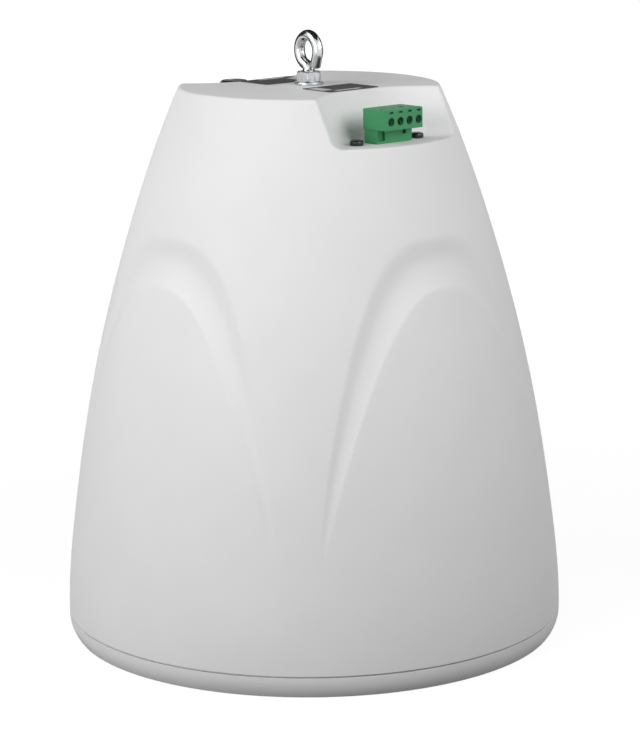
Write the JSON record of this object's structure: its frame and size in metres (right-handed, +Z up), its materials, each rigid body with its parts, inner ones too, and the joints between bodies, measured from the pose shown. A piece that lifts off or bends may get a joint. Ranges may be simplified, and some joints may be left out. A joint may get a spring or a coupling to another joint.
{
  "type": "pendant speaker",
  "caption": "Bell shaped pendant loudspeaker, hung by an eyebolt, with a pluggable terminal block and a tap knob in pockets in its top edge and a grille below.",
  "frame": {"origin": "centre of the circle that the trim ring's flat lower face makes, under the bell", "axes": "+Z up along the bell's axis to the eyebolt; -Y towards the terminal pocket, +Y towards the tap switch pocket"},
  "size_m": [0.2096, 0.2096, 0.2536],
  "materials": {
    "bell_plastic": "moulded ABS, pale grey white, fine satin grain",
    "trim_plastic": "moulded ABS ring, pale grey white satin",
    "grille_paint": "powder coated steel sheet",
    "black_cloth": "thin open cloth",
    "foam": "open cell foam",
    "fibreboard": "fibreboard, black paint",
    "black_rubber": "foam rubber gasket",
    "frame_paint": "stamped steel, black paint",
    "cone_paper": "pressed paper",
    "spider_cloth": "resin dipped cloth",
    "zinc_steel": "zinc plated steel",
    "polished_steel": "polished stainless steel",
    "ferrite": "ferrite ring",
    "copper_wire": "enamelled copper winding",
    "black_plastic": "moulded plastic, black",
    "lamination": "varnished steel laminations",
    "winding_tape": "taped winding",
    "board": "glass fibre board",
    "label_film": "printed film, dark grey",
    "terminal_green": "moulded nylon, green",
    "tin": "tinned metal",
    "black_screw": "black zinc",
    "white_mark": "painted line"
  },
  "bodies": {
    "housing": {"bell_shell": "bell_plastic", "trim_ring": "trim_plastic", "grille": "grille_paint", "grille_cloth": "black_cloth", "baffle": "fibreboard", "baffle_gasket": "black_rubber", "baffle_screws": "black_screw", "driver_frame": "frame_paint", "driver_gasket": "black_rubber", "driver_screws": "black_screw", "driver_surround": "black_rubber", "driver_spider": "spider_cloth", "top_plate": "zinc_steel", "magnet": "ferrite", "yoke": "zinc_steel", "port_tube_1": "black_plastic", "port_tube_2": "black_plastic", "transformer_core": "lamination", "transformer_winding": "winding_tape", "transformer_strap": "zinc_steel", "transformer_screws": "zinc_steel", "crossover_board": "board", "board_spacers": "black_plastic", "board_screws": "zinc_steel", "crossover_coil": "copper_wire", "crossover_capacitor": "black_plastic", "foam_lining": "foam", "eyebolt": "polished_steel", "lock_nut": "polished_steel", "washer": "polished_steel", "suspension_plate": "zinc_steel", "inner_nut": "zinc_steel", "front_label": "label_film", "rear_label": "label_film", "terminal_board": "board", "terminal_header": "terminal_green", "header_pins": "tin", "terminal_screws": "black_screw", "tap_switch": "black_plastic", "switch_nut": "zinc_steel"},
    "knob": {"tap_knob": "black_plastic", "switch_shaft": "zinc_steel", "knob_pointer": "white_mark"},
    "plug": {"terminal_plug": "terminal_green", "plug_clamps": "tin", "plug_screws": "tin"},
    "cone": {"driver_cone": "cone_paper", "dust_cap": "cone_paper", "coil_former": "black_plastic", "voice_coil": "copper_wire"}
  },
  "joints": [
    {"name": "tap_turn", "type": "hinge", "parent": "housing", "child": "knob", "pos_m": [0, 0.048, 0.21], "axis": [0, 0, 1], "range_deg": [0, 150]},
    {"name": "plug_pull", "type": "slide", "parent": "housing", "child": "plug", "axis": [0, 0, 1], "range_m": [0, 0.009]},
    {"name": "cone_stroke", "type": "slide", "parent": "housing", "child": "cone", "axis": [0, 0, 1], "range_m": [-0.003, 0.003], "stiffness_N_per_m": 1700, "deforming": ["driver_surround", "driver_spider"]}
  ]
}
